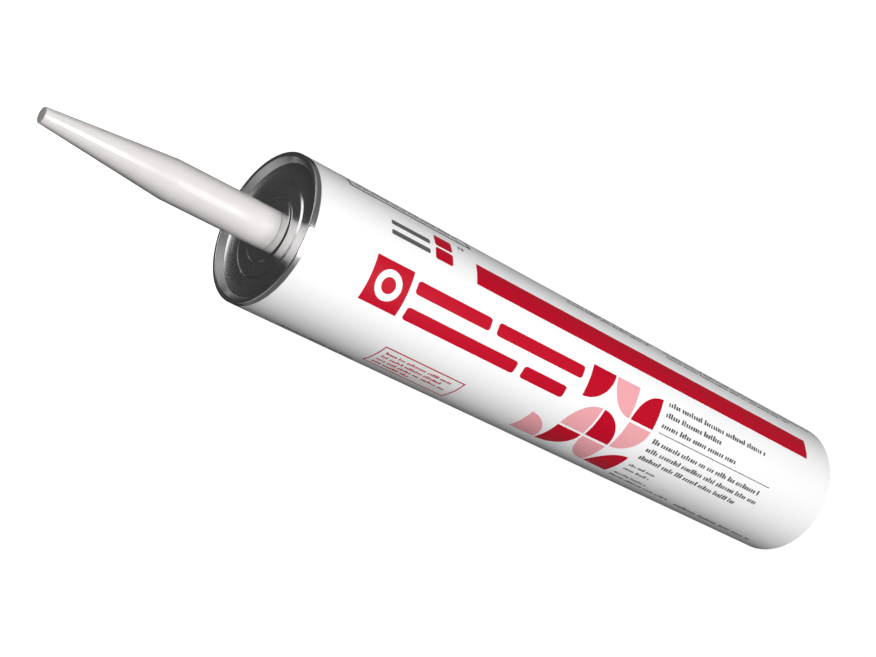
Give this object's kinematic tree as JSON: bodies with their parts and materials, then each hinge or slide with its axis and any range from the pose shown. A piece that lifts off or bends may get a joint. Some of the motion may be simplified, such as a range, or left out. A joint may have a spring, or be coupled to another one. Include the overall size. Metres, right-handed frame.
{
  "type": "caulk tube",
  "caption": "Large cylindrical board tube of caulk with a seamed metal end, a closed tapered plastic spout and a sliding plunger inside its open rear end.",
  "frame": {"origin": "centre of the tube's open rear rim, on the plane that the tube stands on", "axes": "+Z along the tube's axis from the rear rim to the tip of the spout; the middle of the printed label faces -Y"},
  "size_m": [0.0646, 0.0648, 0.4255],
  "materials": {
    "board": "matte",
    "label_paper": "satin",
    "tinplate": "polished",
    "sealing_compound": "matte",
    "spout_plastic": "satin",
    "foil": "satin",
    "sealant_paste": "satin",
    "plunger_plastic": "satin",
    "ink_red": "satin",
    "ink_pink": "satin",
    "ink_grey": "satin"
  },
  "bodies": {
    "cartridge": {"tube_wall": "board", "label_wrap": "label_paper", "metal_end": "tinplate", "seal_ring": "sealing_compound", "spout": "spout_plastic", "spout_membrane": "foil", "sealant": "sealant_paste", "print_red": "ink_red", "print_pink": "ink_pink", "print_grey": "ink_grey"},
    "plunger": {"plunger": "plunger_plastic"}
  },
  "joints": [
    {"name": "plunger_slide", "type": "slide", "parent": "cartridge", "child": "plunger", "axis": [0, 0, 1], "range_m": [0, 0.28395], "deforming": ["sealant"]}
  ]
}
